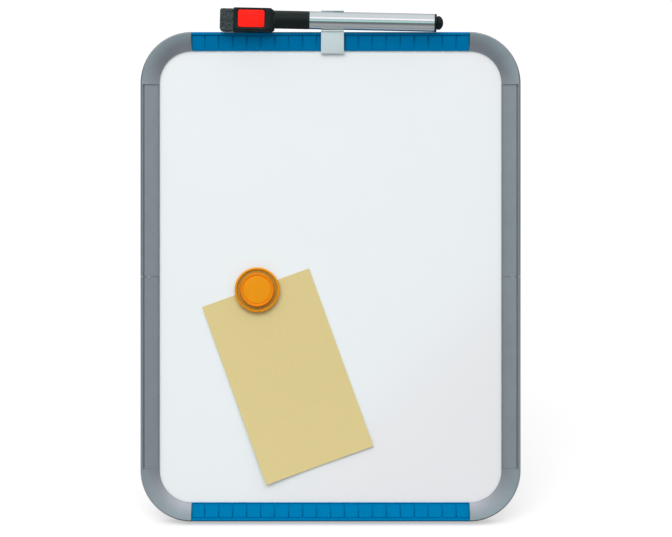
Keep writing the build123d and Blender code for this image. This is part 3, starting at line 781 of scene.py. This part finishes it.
def rail_mesh(name, up):
    """Ribbed rail: one rib with its groove, repeated along the rail, and a plain piece at each end."""
    half = RIB_PITCH / 2
    rib = []
    for x, groove in (
        (-half, 0), (-0.8, 0), (-0.5, 0), (-0.42, 0.06), (-0.32, 0.3), (-0.2, 0.5), (0, 0.55),
        (0.2, 0.5), (0.32, 0.3), (0.42, 0.06), (0.5, 0), (0.8, 0), (half, 0),
    ):
        rib.append(ring_on(rail_outline(groove), (x, up * HALF_HEIGHT), (0, -up)))
    one = bpy.data.meshes.new("Rib")
    points, faces = skin(rib)
    open_ended = faces[:-2]
    one.from_pydata(points, [], open_ended)
    step, merge_within = RIGHT * RIB_PITCH * MM, MERGE_WITHIN * MM
    ribs = grown(one, row_tree, count=RIBS, step=step, merge_within=merge_within, finish=finishes["blue_rail"])
    form = bmesh.new()
    form.from_mesh(ribs)
    plain = rail_outline()
    ribbed = RIBS * half
    for side in (-1, 1):
        rings = []
        for x, section in (
            (ribbed, plain),
            (RAIL_REACH - 0.5, plain),
            (RAIL_REACH - 0.16, plain),
            (RAIL_REACH - 0.06, shrunk(plain, 0.05)),
            (RAIL_REACH, shrunk(plain, 0.16)),
        ):
            rings.append(ring_on(section, (side * x, up * HALF_HEIGHT), (0, -up)))
        points, faces = skin(rings)
        faces.pop(-2)
        made = [form.verts.new(point) for point in points]
        for face in faces:
            form.faces.new([made[index] for index in face])
    points = [vertex.co.copy() for vertex in form.verts]
    form.verts.index_update()
    faces = [[vertex.index for vertex in face.verts] for face in form.faces]
    form.free()
    return mesh_of(name, points, faces, cut_at_desk=up < 0)


for up, level in ((1, "top"), (-1, "bottom")):
    node = f"{level}_rail"
    show(node.replace("_", " ").capitalize(), rail_mesh(node, up), "blue_rail", "board", (node,), 25)

# ---- Screws and desk pads, each one shape set down twice ----
SCREW_PLACE = at(0, HINGE_UP, -PANEL_BACK - 2.0)


def screw_mesh():
    """Pan head screw with a cross recess."""
    profile = curve_of(
        [(3.0, 0, 0), (3.0, 1.2, 0.2), (0, 1.4, 0), (0, 2.6, 0.15), (-0.7, 2.5, 0.4), (-1.6, 1.5, 0.6), (-1.6, 0, 0)], 4
    )
    return mesh_of("Screw", *turned([tuple(point) for point in profile], SCREW_PLACE, OUT, 40, False))


def box_mesh(name, origin, axes, low, high):
    """Plain box from low to high along three directions, as a base for further shaping."""
    corners = [
        origin + (axes[0] * x + axes[1] * y + axes[2] * z) * MM
        for x in (low[0], high[0])
        for y in (low[1], high[1])
        for z in (low[2], high[2])
    ]
    faces = [(0, 1, 3, 2), (4, 6, 7, 5), (0, 4, 5, 1), (2, 3, 7, 6), (0, 2, 6, 4), (1, 5, 7, 3)]
    return mesh_of(name, corners, faces)


def cut_away(mesh, *cutters):
    """The mesh less each cutter."""
    for cutter in cutters:
        tool = bpy.data.objects.new("Cutter", cutter)
        bpy.context.scene.collection.objects.link(tool)
        mesh = baked(mesh, ("BOOLEAN", {"operation": "DIFFERENCE", "object": tool, "solver": "EXACT"}))
        bpy.data.objects.remove(tool)
    return mesh


recess = [
    box_mesh("Slot", SCREW_PLACE - OUT * 1.6 * MM, (RIGHT, UP, OUT), (-half_x, -half_y, -1), (half_x, half_y, 0.8))
    for half_x, half_y in ((1.3, 0.22), (0.22, 1.3))
]
screw = cut_away(screw_mesh(), *recess)


def pair_of(mesh, spacing, finish):
    """Two of a shape, spaced evenly about where it stands."""
    return grown(mesh, row_tree, count=2, step=RIGHT * spacing * MM, merge_within=0.0, finish=finishes[finish])


screws = pair_of(screw, SCREW_SPACING, "zinc_steel")
show("Bracket screws", screws, "zinc_steel", "board", ("bracket_screws",), 30)

pad_low, pad_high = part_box("desk_pads")
pad_middle = (pad_low + pad_high) / 2
pad_half = ((pad_high.x - pad_low.x) / MM - PAD_SPACING) / 2
pad_depth = (pad_high.y - pad_low.y) / MM / 2
pad_height = (pad_high.z - pad_low.z) / MM / 2
pad = box_mesh(
    "Pad",
    pad_middle,
    (Vector((1, 0, 0)), Vector((0, 1, 0)), Vector((0, 0, 1))),
    (-pad_half, -pad_depth, -pad_height),
    (pad_half, pad_depth, pad_height),
)
pads = pair_of(baked(pad, bevel_by(0.3)), PAD_SPACING, "foot_rubber")
show("Desk pads", pads, "foot_rubber", "board", ("desk_pads",))

# ---- Bracket, pin, leg, foot and clip keep their CAD shapes, with eased edges ----
eased("hinge_bracket", 0.45)
eased("hinge_pin", 0.25)
eased("easel_leg", 0.45)
eased("leg_foot", 0.5)
eased("marker_clip", 0.28)

# ---- Marker ----
PEN = -travel["cap_pull"]
PEN_UP = OUT.cross(PEN)
SEAT = at(*CLIP_CENTRE) - PEN * CLIP_TO_CAP * MM


def turned_piece(name, profile, origin, axis, finish, body, node, turns, whole=False, steps=5, crease=35):
    """Shows a piece turned about an axis from a profile of (along, radius, cut)."""
    smooth = soften(profile, steps) if whole else curve_of(profile, steps)
    mesh = mesh_of(name, *turned([tuple(point) for point in smooth], origin, axis, turns, whole))
    return show(name, mesh, finish, body, (node,), crease)


turned_piece(
    "Marker barrel",
    [(0, 4.3, 0.1), (0, BARREL_RADIUS, 0.16), (BARREL_LENGTH, BARREL_RADIUS, 0.16), (BARREL_LENGTH, 4.3, 0.1)],
    SEAT, PEN, "silver_barrel", "marker", "marker_barrel", 96, True,
)
turned_piece(
    "Nib holder",
    [
        (4, 1.5, 0), (-14, 1.5, 0), (-14, 2.2, 0.3), (-12.6, 2.6, 0.6), (-9.4, 2.6, 0.5), (-9.0, 3.6, 0.3),
        (-8.4, 4.2, 0.4), (-1.2, 4.2, 0.2), (-1.1, 4.0, 0.1), (-0.5, 4.0, 0.1), (-0.4, 4.2, 0.1), (0, 4.2, 0.1),
        (0, 4.3, 0), (4, 4.3, 0),
    ],
    SEAT, PEN, "black_gloss", "marker", "nib_holder", 64, True, 3,
)
turned_piece(
    "Nib",
    [(-17.2, 0, 0), (-17.15, 0.75, 0.3), (-16.3, 1.45, 0.4), (-14, 1.5, 0), (4, 1.5, 0), (4, 0, 0)],
    SEAT, PEN, "nib_fibre", "marker", "marker_nib", 40,
)
dome_angles = [step / 14 * math.pi / 2 for step in range(15)]
dome = [(PLUG_TIP + 2.95 * math.sin(angle), 4.0 * math.cos(angle), 0) for angle in dome_angles]
turned_piece(
    "End plug",
    [
        (62.4, 0, 0), (62.4, 4.2, 0.3), (BARREL_LENGTH, 4.3, 0), (BARREL_LENGTH, PLUG_RADIUS, 0.2),
        (72.0, PLUG_RADIUS, 0.3), (72.1, 3.5, 0.25), (72.45, 3.75, 0.15), *dome,
    ],
    SEAT, PEN, "black_gloss", "marker", "end_plug", 72,
)

# ---- Cap, its eraser holder, label and felt ----
CAP_FRONT = OUT * math.cos(CAP_ROLL) + PEN_UP * math.sin(CAP_ROLL)
CAP_UP = CAP_FRONT.cross(PEN)


def on_cap(along, up, front):
    """Point from millimetres along the marker, up the cap and out of its labelled front."""
    return SEAT + (PEN * along + CAP_UP * up + CAP_FRONT * front) * MM


def holder_ring(along, inset):
    """Section of the eraser's holder, drawn in by inset."""
    low, high, back, front = HOLDER_LOW + inset, HOLDER_HIGH - inset, HOLDER_BACK + inset, HOLDER_FRONT - inset
    rear_cut = (high - low) * 0.42
    corners = [(low, back, rear_cut), (high, back, rear_cut)]
    corners += [(high, front, HOLDER_FRONT_CUT), (low, front, HOLDER_FRONT_CUT)]
    outline = soften(corners, 8)
    return [on_cap(along, point.x, point.y) for point in outline]


holder = mesh_of(
    "Holder",
    *skin(
        [
            holder_ring(along, inset)
            for along, inset in (
                (HOLDER_END, 0.3), (HOLDER_END + 0.08, 0.1), (HOLDER_END + 0.3, 0), (HOLDER_START - 2.3, 0),
                (HOLDER_START - 2.0, 0.12), (HOLDER_START - 0.2, 1.28), (HOLDER_START, 1.5),
            )
        ]
    ),
)


def rounded_plate(name, size, round_by, low, high, grow=0.0):
    """Plate with rounded corners on the holder's front, between two heights; grow widens its upper side."""
    rings = []
    for height, wider in ((low, 0.0), (high, grow)):
        half_x, half_y = size[0] / 2 + wider, size[1] / 2 + wider
        corners = [(-half_x, -half_y), (half_x, -half_y), (half_x, half_y), (-half_x, half_y)]
        outline = soften([(x, y, round_by + wider) for x, y in corners], 6)
        rings.append([on_cap(LABEL_SPOT[0] + p.x, LABEL_SPOT[1] + p.y, height) for p in outline])
    return mesh_of(name, *skin(rings))


seat_size = (LABEL_SIZE[0] + 1.8, LABEL_SIZE[1] + 1.8)
seat = rounded_plate("Seat", seat_size, 2.1, HOLDER_FRONT - LABEL_SEAT, HOLDER_FRONT + 0.5, 0.3)
socket = box_mesh(
    "Socket",
    SEAT,
    (PEN, CAP_UP, CAP_FRONT),
    (HOLDER_END - 1, HOLDER_LOW + 0.75, -2.0),
    (HOLDER_END + 6.0, HOLDER_HIGH - 0.75, 5.2),
)
holder = baked(cut_away(holder, seat, socket), bevel_by(0.14, 2, 30))
sleeve_profile = curve_of(
    [
        (HOLDER_START - 0.5, 0, 0), (HOLDER_START - 0.5, CAP_RADIUS, 0), (-0.9, CAP_RADIUS, 0.05), (-0.8, 5.02, 0.05),
        (-0.55, 5.02, 0.05), (-0.45, CAP_RADIUS, 0.05), (0, CAP_RADIUS, 0.22), (0, CAP_BORE, 0.1),
        (-CAP_DEPTH, CAP_BORE, 0), (-CAP_DEPTH, 0, 0),
    ],
    4,
)
sleeve = mesh_of("Sleeve", *turned([tuple(point) for point in sleeve_profile], SEAT, PEN, 80, False))
show("Marker cap", joined(holder, sleeve), "black_gloss", "cap", ("marker_cap",), 30)

label = rounded_plate("Label", LABEL_SIZE, 1.5, HOLDER_FRONT - LABEL_SEAT, HOLDER_FRONT - 0.15)
show("Label", baked(label, bevel_by(0.12, 3)), "red_label", "cap", ("cap_label",))


def felt_mesh():
    """Felt block: its faces are cut fine and pushed about a little, as dense felt is."""
    low = (HOLDER_END - FELT_REACH + 0.2, HOLDER_LOW + 0.35, -1.8)
    high = (HOLDER_END + 5.5, HOLDER_HIGH - 0.9, 4.95)
    block = box_mesh("Felt", SEAT, (PEN, CAP_UP, CAP_FRONT), low, high)
    form = bmesh.new()
    form.from_mesh(block)
    free_end = SEAT + PEN * (low[0] + 0.1) * MM
    near = [e for e in form.edges if all((v.co - free_end).dot(PEN) < 0 for v in e.verts)]
    lower = [e for e in near if all((v.co - SEAT).dot(CAP_UP) < 0 for v in e.verts)]
    bmesh.ops.bevel(form, geom=lower, offset=1.8 * MM, segments=5, profile=0.5, affect="EDGES")
    form.to_mesh(block)
    form.free()
    fine = baked(block, bevel_by(0.25, 2, 40), ("REMESH", {"mode": "VOXEL", "voxel_size": 0.42 * MM}))
    dice = random.Random(11)
    for vertex in fine.vertices:
        away = Vector((dice.uniform(-1, 1), dice.uniform(-1, 1), dice.uniform(-1, 1)))
        vertex.co += away * FELT_ROUGHNESS * MM
    return fine


felt = felt_mesh()
pile = grown(
    felt.copy(),
    pile_tree,
    density=9.0e6,
    length=0.6 * MM,
    radius=0.07 * MM,
    lean=0.55,
    seed=5,
    finish=finishes["grey_felt"],
)
show("Eraser felt", joined(felt, pile), "grey_felt", "cap", ("eraser_felt",), 60)

# ---- Note, a little curled, and the magnet that pins it ----
def note_mesh():
    """Thin sheet whose lower end and sides lift off the board."""
    columns, rows = 28, 46
    along = Vector((math.cos(NOTE_TURN), math.sin(NOTE_TURN)))
    upward = Vector((-math.sin(NOTE_TURN), math.cos(NOTE_TURN)))
    points = []
    for top in (0.0, 1.0):
        for row in range(rows + 1):
            for column in range(columns + 1):
                u = (column / columns - 0.5) * NOTE_SIZE[0]
                v = (row / rows - 0.5) * NOTE_SIZE[1]
                spot = Vector(NOTE_MIDDLE) + along * u + upward * v
                low_end = max(0.0, -v / NOTE_SIZE[1] - 0.05)
                left_side = max(0.0, 0.5 - (u / NOTE_SIZE[0] + 0.5))
                right_side = max(0.0, u / NOTE_SIZE[0])
                lift = 0.03 + 4.0 * low_end**2 + 5.0 * left_side**2 * (0.75 - v / NOTE_SIZE[1]) + 1.2 * right_side**2
                points.append(at(spot.x, spot.y, lift + top * NOTE_THICKNESS))
    layer = (rows + 1) * (columns + 1)

    def index(row, column, top):
        return top * layer + row * (columns + 1) + column

    faces = []
    for row in range(rows):
        for column in range(columns):
            square = [(row, column), (row, column + 1), (row + 1, column + 1), (row + 1, column)]
            faces.append([index(*corner, 1) for corner in square])
            faces.append([index(*corner, 0) for corner in square[::-1]])
    edge = [(0, c) for c in range(columns)] + [(r, columns) for r in range(rows)]
    edge += [(rows, c) for c in range(columns, 0, -1)] + [(r, 0) for r in range(rows, 0, -1)]
    for here, there in zip(edge, edge[1:] + edge[:1]):
        faces.append([index(*here, 0), index(*there, 0), index(*there, 1), index(*here, 1)])
    return mesh_of("Note", points, faces)


show("Note", note_mesh(), "yellow_paper", "note", ("note_card",), 30)

turned_piece(
    "Magnet knob",
    [
        (2.4, 0, 0), (2.4, 8.5, 0.1), (0, 8.5, 0.1), (0, 11.6, 0.2), (0.9, 12.8, 0.4), (2.6, 12.8, 0.4),
        (3.1, 12.2, 0.3), (3.1, 11.7, 0.3), (2.2, 11.2, 0.4), (2.2, 9.9, 0.3), (4.2, 9.5, 0.4), (4.5, 9.0, 0.25),
        (4.05, 8.15, 0.15), (4.0, 7.9, 0.15), (4.3, 7.5, 0.15), (4.35, 0, 0),
    ],
    MAGNET_FOOT, OUT, "orange_plastic", "magnet", "magnet_knob", 112, False, 5, 45,
)

# ---- Floor, light and camera ----
PICTURE_MIDDLE = (3.1, 4.65)
CAMERA_DISTANCE = 1500.0
LENS = 141.2
FLOOR_NEAR, FLOOR_FAR = 0.3, 0.75


def seen_plainly(tree):
    """Share that is 1 for rays from the camera or through clear matter, and 0 for light and reflections."""
    ray = tree.nodes.new("ShaderNodeLightPath").outputs
    return calc(tree, "MAXIMUM", ray["Is Camera Ray"], ray["Is Transmission Ray"])


floor_finish = bpy.data.materials.new("Pale floor")
floor_finish.use_nodes = True
tree = floor_finish.node_tree
shader = tree.nodes["Principled BSDF"]
place = tree.nodes.new("ShaderNodeTexCoord").outputs["Object"]
away = wire(tree, "ShaderNodeVectorMath", {0: place}, operation="LENGTH").outputs["Value"]
far = spread(tree, away, FLOOR_NEAR, FLOOR_FAR)
tree.links.new(blend_color(tree, far, (0.46, 0.46, 0.465, 1), (0.2, 0.2, 0.203, 1)), shader.inputs["Base Color"])
shader.inputs["Roughness"].default_value = 0.9
shader.inputs["Specular IOR Level"].default_value = 0.0
shader.inputs["Emission Color"].default_value = (1, 1, 1, 1)
lit = spread(tree, away, FLOOR_NEAR, FLOOR_FAR, 0.5, 0.86)
tree.links.new(calc(tree, "MULTIPLY", seen_plainly(tree), lit), shader.inputs["Emission Strength"])
bpy.ops.mesh.primitive_plane_add(size=12.0, location=(0, 0, 0))
floor = bpy.context.object
floor.name = "Floor"
floor.data.materials.append(floor_finish)

world = bpy.data.worlds.new("Studio")
bpy.context.scene.world = world
world.use_nodes = True
tree = world.node_tree
way = wire(tree, "ShaderNodeSeparateXYZ", {0: tree.nodes.new("ShaderNodeTexCoord").outputs["Generated"]}).outputs[2]
sky = spread(tree, way, 0.1, 0.95, 0.43, 1.3)
strength = calc(tree, "MAXIMUM", sky, seen_plainly(tree))
tree.links.new(strength, tree.nodes["Background"].inputs["Strength"])
tree.nodes["Background"].inputs["Color"].default_value = (1, 1, 1, 1)


def soft_light(name, place, size, power):
    """Area light that faces the board and isn't seen in gloss."""
    lamp = bpy.data.lights.new(name, "AREA")
    lamp.shape = "RECTANGLE"
    lamp.size, lamp.size_y = size
    lamp.energy = power
    stand = bpy.data.objects.new(name, lamp)
    stand.location = place
    stand.rotation_euler = (BOARD - place).to_track_quat("-Z", "Y").to_euler()
    bpy.context.scene.collection.objects.link(stand)
    stand.visible_glossy = False


soft_light("Key light", at(-300, 880, 1290), (1.5, 0.95), 15.75)


def glow_card(name, corners, color, strength):
    """Soft card that is seen only as a reflection in gloss."""
    finish = bpy.data.materials.new(name)
    finish.use_nodes = True
    tree = finish.node_tree
    tree.nodes.remove(tree.nodes["Principled BSDF"])
    glow = wire(tree, "ShaderNodeEmission", {"Color": color, "Strength": strength})
    tree.links.new(glow.outputs[0], tree.nodes["Material Output"].inputs["Surface"])
    mesh = bpy.data.meshes.new(name)
    mesh.from_pydata(corners, [], [(0, 1, 2, 3)])
    mesh.materials.append(finish)
    card = bpy.data.objects.new(name, mesh)
    bpy.context.scene.collection.objects.link(card)
    card.visible_camera = card.visible_diffuse = card.visible_shadow = card.visible_transmission = False


key_card = [(-420, 640, 1420), (780, 640, 1420), (780, 1090, 1110), (-420, 1090, 1110)]
glow_card("Key_card", [at(*corner) for corner in key_card], (1, 0.9, 0.93, 1), 2.1)
card_along = Vector((0.744, 0.669))
card_aside = Vector((-0.669, 0.744))
card_foot = Vector((76, -133))
card_corners = ((-330, 0), (330, 0), (330, 480), (-330, 480))
face_card = [card_foot + card_along * along + card_aside * aside for along, aside in card_corners]
glow_card("Face_card", [at(*corner, 1510) for corner in face_card], (0.62, 0.95, 0.9, 1), 1.35)

camera_data = bpy.data.cameras.new("Camera")
camera_data.lens = LENS
camera_data.sensor_width = 36.0
camera = bpy.data.objects.new("Camera", camera_data)
camera.matrix_world = Matrix.Translation(at(*PICTURE_MIDDLE, CAMERA_DISTANCE)) @ Matrix(
    (RIGHT, UP, OUT)
).transposed().to_4x4()
bpy.context.scene.collection.objects.link(camera)
bpy.context.scene.camera = camera
bpy.context.scene.view_settings.view_transform = "Standard"
